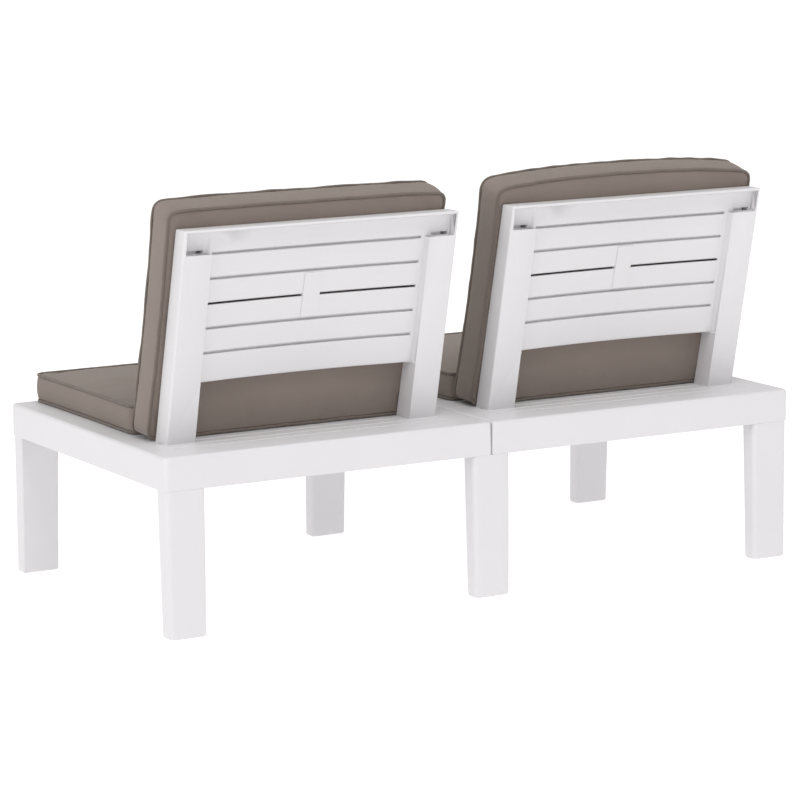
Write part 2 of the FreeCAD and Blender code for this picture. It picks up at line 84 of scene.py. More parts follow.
studio = bpy.data.worlds.new("studio")
studio.use_nodes = True
studio.node_tree.nodes["Background"].inputs["Color"].default_value = (1, 1, 1, 1)
studio.node_tree.nodes["Background"].inputs["Strength"].default_value = surround_strength
bpy.context.scene.world = studio
bpy.context.scene.view_settings.view_transform = "Standard"

floor_mesh = bpy.data.meshes.new("floor")
floor_mesh.from_pydata([(-floor_half, -floor_half, 0), (floor_half, -floor_half, 0),
                        (floor_half, floor_half, 0), (-floor_half, floor_half, 0)], [], [(0, 1, 2, 3)])
floor = bpy.data.objects.new("floor", floor_mesh)
bpy.context.collection.objects.link(floor)
floor_paint = bpy.data.materials.new("studio_floor")
floor_paint.use_nodes = True
paint = floor_paint.node_tree.nodes["Principled BSDF"].inputs
paint["Base Color"].default_value = (0.55, 0.55, 0.55, 1)
paint["Roughness"].default_value = 0.9
paint["Emission Color"].default_value = (1, 1, 1, 1)
paint["Emission Strength"].default_value = 0.70
floor_mesh.materials.append(floor_paint)

for name, (place, size, power) in soft_boxes.items():
    lamp = bpy.data.lights.new(name, "AREA")
    lamp.shape = "RECTANGLE"
    lamp.size, lamp.size_y = size
    lamp.energy = power
    light = bpy.data.objects.new(name, lamp)
    aim = Vector((0, 0, 0.35)) - Vector(place)
    light.matrix_world = Matrix.Translation(place) @ aim.to_track_quat("-Z", "Y").to_matrix().to_4x4()
    bpy.context.collection.objects.link(light)


# Decks. Each seat's deck is one injection moulding in white polypropylene, an upside-down tray
# with a slatted top, ribs and sockets underneath. Its edges are as soft as the tool left them.
crease_angle = math.radians(22)


def add_grain(tree, coordinates, scale, detail):
    noise = tree.nodes.new("ShaderNodeTexNoise")
    noise.inputs["Scale"].default_value = scale
    noise.inputs["Detail"].default_value = detail
    tree.links.new(coordinates, noise.inputs["Vector"])
    return noise.outputs["Fac"]


def add_range(tree, value, low, high):
    remap = tree.nodes.new("ShaderNodeMapRange")
    remap.inputs["To Min"].default_value = low
    remap.inputs["To Max"].default_value = high
    tree.links.new(value, remap.inputs["Value"])
    return remap.outputs["Result"]


def add_bump(tree, height, distance, below=None):
    bump = tree.nodes.new("ShaderNodeBump")
    bump.inputs["Distance"].default_value = distance
    tree.links.new(height, bump.inputs["Height"])
    if below is not None:
        tree.links.new(below, bump.inputs["Normal"])
    return bump.outputs["Normal"]


def add_blend(tree, factor, first, second):
    blend = tree.nodes.new("ShaderNodeMix")
    blend.data_type = "RGBA"
    blend.inputs[6].default_value = (*first, 1)
    blend.inputs[7].default_value = (*second, 1)
    tree.links.new(factor, blend.inputs[0])
    return blend.outputs[2]


def moulded_plastic(name, shade, deeper_shade, roughness):
    """Spark-eroded satin plastic: a fine grain, a slow waviness over the ribs, faint cloudiness."""
    finish = bpy.data.materials.new(name)
    finish.use_nodes = True
    tree = finish.node_tree
    surface = tree.nodes["Principled BSDF"]
    place = tree.nodes.new("ShaderNodeTexCoord").outputs["Object"]
    cloud = add_grain(tree, place, 7.0, 3.0)
    tree.links.new(add_blend(tree, cloud, shade, deeper_shade), surface.inputs["Base Color"])
    wear = add_grain(tree, place, 34.0, 4.0)
    tree.links.new(add_range(tree, wear, roughness - 0.07, roughness + 0.09), surface.inputs["Roughness"])
    waves = add_bump(tree, add_grain(tree, place, 16.0, 1.0), 0.0012)
    grain = add_bump(tree, add_grain(tree, place, 1900.0, 2.0), 0.00006, waves)
    tree.links.new(grain, surface.inputs["Normal"])
    surface.inputs["IOR"].default_value = 1.49
    surface.inputs["Subsurface Weight"].default_value = 0.06
    surface.inputs["Subsurface Radius"].default_value = (1.0, 0.95, 0.9)
    surface.inputs["Subsurface Scale"].default_value = 0.002
    return finish


white_polypropylene = moulded_plastic("white_polypropylene", (0.735, 0.720, 0.733),
                                      (0.700, 0.685, 0.698), 0.42)


def fixed(piece):
    """Turns a piece's modifiers into its plain mesh."""
    bpy.context.view_layer.update()
    seen = bpy.context.evaluated_depsgraph_get()
    made = bpy.data.meshes.new_from_object(piece.evaluated_get(seen), preserve_all_data_layers=True,
                                           depsgraph=seen)
    piece.modifiers.clear()
    piece.data = made


def set_input(modifier, name, value):
    """Sets a node tree's input by its name."""
    for item in modifier.node_group.interface.items_tree:
        if item.in_out == "INPUT" and item.name == name:
            modifier[item.identifier] = value


def moulding(node, finish):
    """A copy of a moulding in its own finish, its curved faces shaded round and its creases sharp."""
    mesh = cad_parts[node].data.copy()
    shell = bmesh.new()
    shell.from_mesh(mesh)
    bmesh.ops.remove_doubles(shell, verts=shell.verts, dist=0.00001)
    shell.to_mesh(mesh)
    shell.free()
    mesh.materials.clear()
    mesh.materials.append(finish)
    mesh.shade_smooth()
    mesh.set_sharp_from_angle(angle=crease_angle)
    piece = bpy.data.objects.new(node + "_moulding", mesh)
    bpy.context.collection.objects.link(piece)
    flats = piece.modifiers.new("flats", "WEIGHTED_NORMAL")
    flats.weight = 100
    flats.keep_sharp = True
    fixed(piece)
    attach(piece, "frame")
    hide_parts(node)
    return piece


for node in ("deck_left", "deck_right"):
    moulding(node, white_polypropylene)


# Legs. Hollow tapered mouldings with a closed foot; a plug on top of each goes up into the deck.
for row in ("front", "back"):
    for column in ("left", "centre", "right"):
        moulding(f"leg_{row}_{column}", white_polypropylene)


# Backrests. One moulding each: two hollow posts and a bowed, slatted panel between them.
for node in ("backrest_left", "backrest_right"):
    moulding(node, white_polypropylene)


# Joining clips. Two short channels in grey polypropylene that straddle the walls where the seats meet.
grey_polypropylene = moulded_plastic("grey_polypropylene", (0.45, 0.45, 0.46), (0.41, 0.41, 0.42), 0.45)
for node in ("joining_clip_front", "joining_clip_back"):
    moulding(node, grey_polypropylene)


# Screws. Zinc-plated pan-head self-tapping screws, eight in the legs' sockets and four in the
# backrests', each with a cross recess and a thread rolled on.
head_radius, head_height = 0.0040, 0.0024
shank_length, thread_radius, core_radius, thread_pitch = 0.0148, 0.0020, 0.0014, 0.0016
screw_sides, thread_levels = 24, 40
point_length, point_bluntness = 0.003, 0.12
crest_share = 0.28        # of the pitch, on each side of a crest
gap_between_screws = 0.01


def zinc_plate():
    finish = bpy.data.materials.new("zinc_plate")
    finish.use_nodes = True
    tree = finish.node_tree
    surface = tree.nodes["Principled BSDF"]
    surface.inputs["Metallic"].default_value = 1.0
    place = tree.nodes.new("ShaderNodeTexCoord").outputs["Object"]
    tone = add_grain(tree, place, 420.0, 3.0)
    plating = add_blend(tree, tone, (0.66, 0.66, 0.67), (0.52, 0.53, 0.55))
    tree.links.new(plating, surface.inputs["Base Color"])
    tree.links.new(add_range(tree, tone, 0.24, 0.42), surface.inputs["Roughness"])
    return finish


def screw_pattern():
    """One screw along +Z, its head's seat at the origin: rings of points from the recess to the tip."""
    rings = [(0.0003, -0.0009, 0.0), (0.0011, -0.0010, 0.45), (0.0016, -head_height, 0.45),
             (0.0026, -head_height, 0.0), (0.0034, -head_height * 0.88, 0.0),
             (0.0039, -head_height * 0.55, 0.0),
             (head_radius, -0.0003, 0.0), (0.00385, 0.0, 0.0), (core_radius, 0.0, 0.0)]
    points = []
    for radius, z, cross in rings:
        for k in range(screw_sides):
            turn = 2 * math.pi * k / screw_sides
            reach = radius * (1 + cross * math.cos(4 * turn)) / (1 + cross)
            points.append((reach * math.cos(turn), reach * math.sin(turn), z))
    for i in range(1, thread_levels + 1):
        z = shank_length * i / thread_levels
        taper = min((shank_length - z) / point_length + point_bluntness, 1.0)
        for k in range(screw_sides):
            share = (z / thread_pitch - k / screw_sides) % 1.0
            crest = max(1 - abs(share - 0.5) / crest_share, 0)
            reach = (core_radius + (thread_radius - core_radius) * crest) * taper
            turn = 2 * math.pi * k / screw_sides
            points.append((reach * math.cos(turn), reach * math.sin(turn), z))
    count = len(points) // screw_sides
    last_ring = range((count - 1) * screw_sides, count * screw_sides)
    faces = [tuple(range(screw_sides)), tuple(reversed(last_ring))]
    for i in range(count - 1):
        for k in range(screw_sides):
            m = (k + 1) % screw_sides
            a, b = i * screw_sides, (i + 1) * screw_sides
            faces.append((a + k, b + k, b + m, a + m))
    made = bpy.data.meshes.new("screw_pattern")
    made.from_pydata(points, [], faces)
    shell = bmesh.new()
    shell.from_mesh(made)
    bmesh.ops.recalc_face_normals(shell, faces=shell.faces)
    shell.to_mesh(made)
    shell.free()
    made.shade_smooth()
    made.set_sharp_from_angle(angle=math.radians(40))
    return bpy.data.objects.new("screw_pattern", made)


def screw_tree():
    """Geometry nodes: one screw on every point, its length along the point's own way."""
    tree = bpy.data.node_groups.new("driven_screws", "GeometryNodeTree")
    tree.interface.new_socket("Geometry", in_out="INPUT", socket_type="NodeSocketGeometry")
    tree.interface.new_socket("Screw", in_out="INPUT", socket_type="NodeSocketObject")
    tree.interface.new_socket("Finish", in_out="INPUT", socket_type="NodeSocketMaterial")
    tree.interface.new_socket("Geometry", in_out="OUTPUT", socket_type="NodeSocketGeometry")
    given = tree.nodes.new("NodeGroupInput").outputs
    shape = tree.nodes.new("GeometryNodeObjectInfo")
    way = tree.nodes.new("GeometryNodeInputNamedAttribute")
    way.data_type = "FLOAT_VECTOR"
    way.inputs["Name"].default_value = "way"
    turn = tree.nodes.new("FunctionNodeAlignRotationToVector")
    turn.axis = "Z"
    spread = tree.nodes.new("GeometryNodeInstanceOnPoints")
    real = tree.nodes.new("GeometryNodeRealizeInstances")
    coated = tree.nodes.new("GeometryNodeSetMaterial")
    result = tree.nodes.new("NodeGroupOutput").inputs
    link = tree.links.new
    link(given["Screw"], shape.inputs["Object"])
    link(way.outputs["Attribute"], turn.inputs["Vector"])
    link(given["Geometry"], spread.inputs["Points"])
    link(shape.outputs["Geometry"], spread.inputs["Instance"])
    link(turn.outputs["Rotation"], spread.inputs["Rotation"])
    link(spread.outputs["Instances"], real.inputs["Geometry"])
    link(real.outputs["Geometry"], coated.inputs["Geometry"])
    link(given["Finish"], coated.inputs["Material"])
    link(coated.outputs["Geometry"], result["Geometry"])
    return tree


def screw_places(node, both_ways):
    """Each screw's seat and the way it is driven, read from the node's own points."""
    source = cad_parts[node].data
    points = np.empty(len(source.vertices) * 3)
    source.vertices.foreach_get("co", points)
    points = points.reshape(-1, 3)
    keys = np.zeros((len(points), 2))
    keys[:, 1] = np.sign(points[:, 1]) * both_ways
    order = np.argsort(points[:, 0])
    keys[order, 0] = np.concatenate([[0], np.cumsum(np.diff(points[order, 0]) > gap_between_screws)])
    places, ways = [], []
    for key in np.unique(keys, axis=0):
        own = points[(keys == key).all(axis=1)]
        low, high = own.min(axis=0), own.max(axis=0)
        way = -1.0 if key[1] < 0 else 1.0
        seat = low[1] + head_height if way > 0 else high[1] - head_height
        places.append(((low[0] + high[0]) / 2, seat, (low[2] + high[2]) / 2))
        ways.append((0.0, way, 0.0))
    return places, ways


zinc = zinc_plate()
one_screw = screw_pattern()
driven_screws = screw_tree()
for node, both_ways in (("leg_screws", 1), ("backrest_screws", 0)):
    places, ways = screw_places(node, both_ways)
    seats = bpy.data.meshes.new(node + "_driven")
    seats.from_pydata(places, [], [])
    seats.attributes.new("way", "FLOAT_VECTOR", "POINT").data.foreach_set("vector", np.array(ways).ravel())
    screws = bpy.data.objects.new(node + "_driven", seats)
    bpy.context.collection.objects.link(screws)
    driving = screws.modifiers.new("driving", "NODES")
    driving.node_group = driven_screws
    set_input(driving, "Screw", one_screw)
    set_input(driving, "Finish", zinc)
    fixed(screws)
    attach(screws, "frame")
    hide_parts(node)
bpy.data.objects.remove(one_screw)


# Seat cushions. Boxed pads: a foam slab in a taupe polyester cover whose top and bottom panels
# are sewn to a side strip, with piping in both seams and a zip along the rear strip.
seam_rows = (0.0, 0.0022, 0.0055, 0.0105, 0.0165)   # how far the first rows of cloth lie from a seam
cloth_cell = 0.0064
seam_sink = 0.0027
cord_radius = 0.0023


def rows_between_seams(length, cell, near_seam):
    """Where the rows of cloth lie between two seams, closer together beside each seam."""
    count = max(int(round((length - 2 * near_seam[-1]) / cell)), 2)
    middle = np.linspace(near_seam[-1], length - near_seam[-1], count + 1)
    start = np.array(near_seam[:-1])
    return np.concatenate([start, middle, length - start[::-1]])


def smooth_noise(seed, shortest, longest, count=7):
    """A slow random ripple over a plane, as a function of two coordinates in metres."""
    draw = np.random.default_rng(seed)
    turns = draw.uniform(0, 2 * np.pi, count)
    waves = 2 * np.pi / draw.uniform(shortest, longest, count)
    phases = draw.uniform(0, 2 * np.pi, count)

    def ripple(x, y):
        total = 0
        for turn, wave, phase in zip(turns, waves, phases):
            total = total + np.sin(wave * (x * np.cos(turn) + y * np.sin(turn)) + phase)
        return total / np.sqrt(count)
    return ripple


def seam_ripple(seed, shortest, longest, count=6):
    """The puckering that a sewing machine leaves, as a function of the distance along a seam."""
    draw = np.random.default_rng(seed)
    waves = 2 * np.pi / draw.uniform(shortest, longest, count)
    phases = draw.uniform(0, 2 * np.pi, count)

    def ripple(x):
        return sum(np.sin(wave * x + phase) for wave, phase in zip(waves, phases)) / np.sqrt(count)
    return ripple


class PadPattern:
    """The cut of one boxed pad, flat: u across it, v from its far edge to its heel, w through it."""

    def __init__(self, width, length, thickness, cell=cloth_cell, near_seam=seam_rows,
                 far_radius=0.024, heel_radius=0.018, waist=0.003, arch=0.0, drop=0.0, wedge=0.0):
        self.half = width / 2
        self.length = length
        self.thickness = thickness
        self.far_radius = far_radius
        self.heel_radius = heel_radius
        self.waist = waist
        self.arch = arch
        self.drop = drop
        self.wedge = wedge
        self.us = rows_between_seams(width, cell, near_seam) - self.half
        self.vs = rows_between_seams(length, cell, near_seam)
        self.ws = rows_between_seams(thickness, cell, near_seam[:-1])
        columns, rows = len(self.us), len(self.vs)
        self.face_count = columns * rows
        self.index = np.arange(self.face_count).reshape(rows, columns)
        # the loop of cloth along the seam, once round
        self.loop = np.concatenate([self.index[0, :-1], self.index[:-1, -1],
                                    self.index[-1, :0:-1], self.index[:0:-1, 0]])
        grid_v, grid_u = np.meshgrid(self.vs, self.us, indexing="ij")
        self.grid_u, self.grid_v = grid_u.ravel(), grid_v.ravel()

    def outline(self, u, v, w):
        """Where a point of the flat grid lies in the pad's own shape, at a depth w."""
        radius = np.where(v < self.length / 2, self.far_radius, self.heel_radius)
        du = np.abs(u) - (self.half - radius)
        dv = np.abs(v - self.length / 2) - (self.length / 2 - radius)
        in_corner = (du > 0) & (dv > 0)
        reach = np.where(in_corner, np.hypot(du, dv), 1.0)
        pull = np.where(in_corner, np.maximum(du, dv) / reach, 1.0)
        u = np.where(in_corner, np.sign(u) * (self.half - radius + du * pull), u)
        v = np.where(in_corner, self.length / 2 + np.sign(v - self.length / 2)
                     * (self.length / 2 - radius + dv * pull), v)
        s, t = u / self.half, v / self.length
        far = np.clip(1 - t, 0, 1) ** 2
        v = v - self.arch * (1 - s ** 2) * far + self.drop * s ** 4 * far
        u = u * (1 - self.waist / self.half * np.sin(np.pi * np.clip(t, 0, 1)))
        v = v + self.wedge * np.clip(t, 0, 1) ** 4 * (1 - w / self.thickness)
        return np.stack([u, v, np.broadcast_to(w, u.shape)], axis=-1)

    def build(self):
        """Points, faces, cloth coordinates of each face's corners, and the outward way at each point."""
        low = self.outline(self.grid_u, self.grid_v, 0.0)
        high = self.outline(self.grid_u, self.grid_v, self.thickness)
        rings = []
        for w in self.ws[1:-1]:
            rings.append(self.outline(self.grid_u[self.loop], self.grid_v[self.loop], w))
        self.points = np.concatenate([low, high] + rings)
        around = len(self.loop)
        ring_start = 2 * self.face_count
        levels = [self.loop]
        levels += [ring_start + i * around + np.arange(around) for i in range(len(rings))]
        levels.append(self.face_count + self.loop)
        self.levels = levels
        edge = self.points[self.loop]
        along = np.roll(edge, -1, axis=0) - edge
        self.arc = np.concatenate([[0.0], np.cumsum(np.linalg.norm(along, axis=1))])
        quads, cloth = [], []
        rows, columns = self.index.shape
        for j in range(rows - 1):
            for i in range(columns - 1):
                a, b = self.index[j, i], self.index[j, i + 1]
                d, c = self.index[j + 1, i], self.index[j + 1, i + 1]
                quads.append((d, c, b, a))
                cloth += [(self.grid_u[k], self.grid_v[k]) for k in (d, c, b, a)]
                top = [self.face_count + k for k in (a, b, c, d)]
                quads.append(tuple(top))
                cloth += [(self.grid_u[k], self.grid_v[k]) for k in (a, b, c, d)]
        for lower, upper, w0, w1 in zip(levels[:-1], levels[1:], self.ws[:-1], self.ws[1:]):
            for i in range(around):
                k = (i + 1) % around
                quads.append((lower[i], lower[k], upper[k], upper[i]))
                a0, a1 = self.arc[i], self.arc[i + 1]
                cloth += [(a0, w0), (a1, w0), (a1, w1), (a0, w1)]
        self.quads, self.cloth = quads, cloth
        # outward in the plane of the pad, for the strip
        ahead = np.roll(edge, -1, axis=0) - np.roll(edge, 1, axis=0)
        out = np.stack([ahead[:, 1], -ahead[:, 0], np.zeros(around)], axis=-1)
        self.strip_out = out / np.linalg.norm(out, axis=1, keepdims=True)
        return self.points

    def mesh(self, name, points, place=None):
        made = bpy.data.meshes.new(name)
        if place is not None:
            points = points @ np.array(place.to_3x3()).T + np.array(place.translation)
        made.from_pydata(points.tolist(), [], self.quads)
        layer = made.uv_layers.new(name="cloth")
        layer.data.foreach_set("uv", np.array(self.cloth, dtype=np.float32).ravel())
        made.shade_smooth()
        return made


def inflated(pattern, frames=20):
    """How far each point of the cover moves when the pad inside it swells, by cloth simulation."""
    trial = bpy.data.objects.new("swelling_cover", pattern.mesh("swelling_cover", pattern.points))
    bpy.context.collection.objects.link(trial)
    seams = trial.vertex_groups.new(name="seams")
    seams.add([int(k) for k in np.concatenate([pattern.levels[0], pattern.levels[-1]])], 1.0, "REPLACE")
    cloth = trial.modifiers.new("swelling", "CLOTH")
    cloth.settings.quality = 5
    cloth.settings.mass = 0.3
    cloth.settings.tension_stiffness = 18
    cloth.settings.compression_stiffness = 18
    cloth.settings.shear_stiffness = 8
    cloth.settings.bending_stiffness = 1.5
    cloth.settings.tension_damping = 12
    cloth.settings.compression_damping = 12
    cloth.settings.shrink_min = -0.012
    cloth.settings.use_pressure = True
    cloth.settings.uniform_pressure_force = 4
    cloth.settings.vertex_group_mass = "seams"
    cloth.settings.effector_weights.gravity = 0
    cloth.collision_settings.use_collision = False
    cloth.point_cache.frame_start = 1
    cloth.point_cache.frame_end = frames
    for step in range(1, frames + 1):
        bpy.context.scene.frame_set(step)
    seen = trial.evaluated_get(bpy.context.evaluated_depsgraph_get())
    moved = np.empty(len(seen.data.vertices) * 3)
    seen.data.vertices.foreach_get("co", moved)
    bpy.context.scene.frame_set(1)
    mesh = trial.data
    bpy.data.objects.remove(trial)
    bpy.data.meshes.remove(mesh)
    return moved.reshape(-1, 3) - pattern.points


def soft_limit(distance, limit):
    """The distance, levelling off towards a limit."""
    return limit * np.tanh(distance / limit)


def stuffed_cover(pattern, swelling, low_crown, high_crown, low_room, high_room, seed, mirror):
    """The cover's final points: the swelling scaled to the crowns, held back where the pad rests,
    with slow unevenness in the foam and puckers beside the seams."""
    points = pattern.points.copy()
    n = pattern.face_count
    u, v = pattern.grid_u, pattern.grid_v
    if mirror:
        order = pattern.index[:, ::-1].ravel()
    else:
        order = np.arange(n)
    uneven = smooth_noise(seed, 0.09, 0.26)
    by_side, by_end = seam_ripple(seed + 1, 0.016, 0.05), seam_ripple(seed + 2, 0.016, 0.05)
    side_gap = pattern.half - np.abs(u)
    end_gap = np.minimum(v, pattern.length - v)
    seam_gap = np.minimum(side_gap, end_gap)
    inner = 1 - np.exp(-seam_gap / 0.02)
    pucker = (np.exp(-side_gap / 0.011) * by_side(v) + np.exp(-end_gap / 0.011) * by_end(u))
    pucker = 0.0006 * pucker * (1 - np.exp(-seam_gap / 0.003))
    for start, way, crown, room in ((0, -1, low_crown, low_room), (n, 1, high_crown, high_room)):
        rise = way * swelling[start:start + n, 2][order]
        rise = rise * crown / max(rise.max(), 1e-6) + 0.0011 * uneven(u, v + start) * inner + pucker
        points[start:start + n, 2] += way * soft_limit(rise, room(u, v))
    # the strip bellies out a little between its seams, apart from where the zip keeps it flat
    zip_side = np.clip((pattern.grid_v[pattern.loop] - pattern.length + 0.03) / 0.03, 0, 1)
    along = pattern.arc[:-1]
    belly, ripple = seam_ripple(seed + 3, 0.07, 0.2), seam_ripple(seed + 4, 0.012, 0.04)
    for level, w in zip(pattern.levels[1:-1], pattern.ws[1:-1]):
        share = w / pattern.thickness
        out = (0.0022 + 0.0008 * belly(along)) * 4 * share * (1 - share)
        beside = np.exp(-w / 0.007) + np.exp(-(pattern.thickness - w) / 0.007)
        out = out + 0.0005 * ripple(along + w * 0.3) * beside
        points[level] += pattern.strip_out * (out * (1 - zip_side))[:, None]
    # both seams wander a little, and the stitches draw the cloth in under the cord
    wander = seam_ripple(seed + 5, 0.03, 0.16)
    cords = []
    for level, way in ((pattern.levels[0], -1), (pattern.levels[-1], 1)):
        offset = 0.0005 * wander(along + 0.4 * way)
        points[level] += pattern.strip_out * offset[:, None]
        cords.append(points[level].copy())
        points[level] -= pattern.strip_out * seam_sink
        points[level, 2] -= way * seam_sink
    return points, cords


def piping_cord(name, path, place, radius, seed):
    """A cord in a bias-cut sleeve, closed round the pad, slightly uneven where the sleeve gathers."""
    ends = np.concatenate([path, path[:1]])
    steps = np.linalg.norm(np.diff(ends, axis=0), axis=1)
    travelled = np.concatenate([[0.0], np.cumsum(steps)])
    rings = int(travelled[-1] / 0.0035)
    at = np.linspace(0, travelled[-1], rings, endpoint=False)
    centre = np.stack([np.interp(at, travelled, ends[:, k]) for k in range(3)], axis=-1)
    for _ in range(2):
        centre = (np.roll(centre, 1, axis=0) + 2 * centre + np.roll(centre, -1, axis=0)) / 4
    ahead = np.roll(centre, -1, axis=0) - np.roll(centre, 1, axis=0)
    ahead /= np.linalg.norm(ahead, axis=1, keepdims=True)
    through = np.array([0.0, 0.0, 1.0])
    side = np.cross(ahead, through)
    side /= np.linalg.norm(side, axis=1, keepdims=True)
    over = np.cross(side, ahead)
    sides = 12
    gather = seam_ripple(seed, 0.006, 0.02)
    points, cloth, quads = [], [], []
    for k in range(sides):
        turn = 2 * np.pi * k / sides
        swell = radius * (1 + 0.035 * gather(at + 0.004 * k / sides))
        points.append(centre + (np.cos(turn) * side + np.sin(turn) * over) * swell[:, None])
    points = np.stack(points, axis=1).reshape(-1, 3)
    girth = 2 * np.pi * radius
    for i in range(rings):
        j = (i + 1) % rings
        for k in range(sides):
            m = (k + 1) % sides
            quads.append((i * sides + k, i * sides + m, j * sides + m, j * sides + k))
            a0, a1 = at[i], at[i] + travelled[-1] / rings
            g0, g1 = girth * k / sides, girth * (k + 1) / sides
            cloth += [(a0, g0), (a0, g1), (a1, g1), (a1, g0)]
    points = points @ np.array(place.to_3x3()).T + np.array(place.translation)
    mesh = bpy.data.meshes.new(name)
    mesh.from_pydata(points.tolist(), [], quads)
    layer = mesh.uv_layers.new(name="cloth")
    layer.data.foreach_set("uv", np.array(cloth, dtype=np.float32).ravel())
    mesh.shade_smooth()
    return mesh


def canvas_cloth(name, shade, deeper_shade, bias):
    """Outdoor polyester canvas: a fine plain weave in mixed taupe yarns, slightly faded in places."""
    finish = bpy.data.materials.new(name)
    finish.use_nodes = True
    tree = finish.node_tree
    surface = tree.nodes["Principled BSDF"]
    cut = tree.nodes.new("ShaderNodeUVMap")
    cut.uv_map = "cloth"
    lay = tree.nodes.new("ShaderNodeMapping")
    lay.inputs["Rotation"].default_value = (0, 0, bias)
    tree.links.new(cut.outputs["UV"], lay.inputs["Vector"])
    apart = tree.nodes.new("ShaderNodeSeparateXYZ")
    tree.links.new(lay.outputs["Vector"], apart.inputs["Vector"])
    yarn_pitch = 0.00095
    profiles = []
    for axis in ("X", "Y"):
        wave = tree.nodes.new("ShaderNodeMath")
        wave.operation = "MULTIPLY"
        wave.inputs[1].default_value = math.pi / yarn_pitch
        tree.links.new(apart.outputs[axis], wave.inputs[0])
        sine = tree.nodes.new("ShaderNodeMath")
        sine.operation = "SINE"
        tree.links.new(wave.outputs["Value"], sine.inputs[0])
        rounded = tree.nodes.new("ShaderNodeMath")
        rounded.operation = "ABSOLUTE"
        tree.links.new(sine.outputs["Value"], rounded.inputs[0])
        profiles.append(rounded.outputs["Value"])
    over_under = tree.nodes.new("ShaderNodeTexChecker")
    over_under.inputs["Scale"].default_value = 1 / yarn_pitch
    tree.links.new(lay.outputs["Vector"], over_under.inputs["Vector"])
    weave = tree.nodes.new("ShaderNodeMix")
    tree.links.new(over_under.outputs["Fac"], weave.inputs["Factor"])
    tree.links.new(profiles[0], weave.inputs["A"])
    tree.links.new(profiles[1], weave.inputs["B"])
    yarns = []
    for stretch in ((160, 1500, 1), (1500, 160, 1)):
        slub = tree.nodes.new("ShaderNodeMapping")
        slub.inputs["Scale"].default_value = stretch
        tree.links.new(lay.outputs["Vector"], slub.inputs["Vector"])
        yarns.append(add_grain(tree, slub.outputs["Vector"], 1.0, 2.0))
    yarn_tone = tree.nodes.new("ShaderNodeMix")
    tree.links.new(over_under.outputs["Fac"], yarn_tone.inputs["Factor"])
    tree.links.new(yarns[0], yarn_tone.inputs["A"])
    tree.links.new(yarns[1], yarn_tone.inputs["B"])
    mixed = tree.nodes.new("ShaderNodeMath")
    mixed.operation = "MULTIPLY_ADD"
    mixed.inputs[1].default_value = 0.55
    tree.links.new(yarn_tone.outputs["Result"], mixed.inputs[0])
    fading = add_grain(tree, tree.nodes.new("ShaderNodeTexCoord").outputs["Object"], 9.0, 3.0)
    tree.links.new(add_range(tree, fading, 0.0, 0.45), mixed.inputs[2])
    tree.links.new(add_blend(tree, mixed.outputs["Value"], shade, deeper_shade), surface.inputs["Base Color"])
    tree.links.new(add_range(tree, fading, 0.82, 0.94), surface.inputs["Roughness"])
    tree.links.new(add_bump(tree, weave.outputs["Result"], 0.00018), surface.inputs["Normal"])
    surface.inputs["Sheen Weight"].default_value = 0.28
    surface.inputs["Sheen Roughness"].default_value = 0.5
    surface.inputs["Sheen Tint"].default_value = (0.9, 0.87, 0.84, 1)
    surface.inputs["Specular IOR Level"].default_value = 0.25
    return finish


taupe_canvas = canvas_cloth("taupe_canvas", (0.290, 0.240, 0.210), (0.208, 0.168, 0.145), 0.0)
# The piping is the cover's own canvas, given darker colours: painted shade for the shadow lines along the
# seams beside each cord.
painted_shade_piping = canvas_cloth("painted_shade_piping", (0.205, 0.168, 0.145), (0.145, 0.117, 0.100), math.radians(45))


def foam_slab_finish():
    finish = bpy.data.materials.new("cushion_foam")
    finish.use_nodes = True
    tree = finish.node_tree
    surface = tree.nodes["Principled BSDF"]
    place = tree.nodes.new("ShaderNodeTexCoord").outputs["Object"]
    cells = tree.nodes.new("ShaderNodeTexVoronoi")
    cells.inputs["Scale"].default_value = 900.0
    tree.links.new(place, cells.inputs["Vector"])
    tone = add_grain(tree, place, 25.0, 3.0)
    colour = add_blend(tree, tone, (0.78, 0.74, 0.60), (0.66, 0.60, 0.44))
    tree.links.new(colour, surface.inputs["Base Color"])
    tree.links.new(add_bump(tree, cells.outputs["Distance"], 0.0004), surface.inputs["Normal"])
    surface.inputs["Roughness"].default_value = 0.95
    return finish


foam_finish = foam_slab_finish()


def plain_finish(name, shade, roughness, metallic):
    finish = bpy.data.materials.new(name)
    finish.use_nodes = True
    tree = finish.node_tree
    surface = tree.nodes["Principled BSDF"]
    surface.inputs["Base Color"].default_value = (*shade, 1)
    surface.inputs["Metallic"].default_value = metallic
    place = tree.nodes.new("ShaderNodeTexCoord").outputs["Object"]
    rub = add_grain(tree, place, 260.0, 3.0)
    tree.links.new(add_range(tree, rub, roughness - 0.08, roughness + 0.12), surface.inputs["Roughness"])
    return finish


zip_tape_finish = plain_finish("zip_tape", (0.060, 0.050, 0.043), 0.85, 0.0)
zip_coil_finish = plain_finish("zip_coil", (0.045, 0.040, 0.036), 0.40, 0.0)
slider_finish = plain_finish("zip_slider_paint", (0.050, 0.043, 0.038), 0.35, 0.6)
zip_length, zip_width, zip_thickness = 0.400, 0.009, 0.0010
coil_turns, coil_turn_size, coil_stagger = 250, (0.0013, 0.0010, 0.0030), 0.0018
slider_bars = [((0.2005, -0.0005, -0.0035), (0.2095, 0.0017, 0.0035)),     # its body
               ((0.2070, 0.0004, -0.0015), (0.2128, 0.0013, 0.0015))]      # and its pull
slider_edge = 0.0004


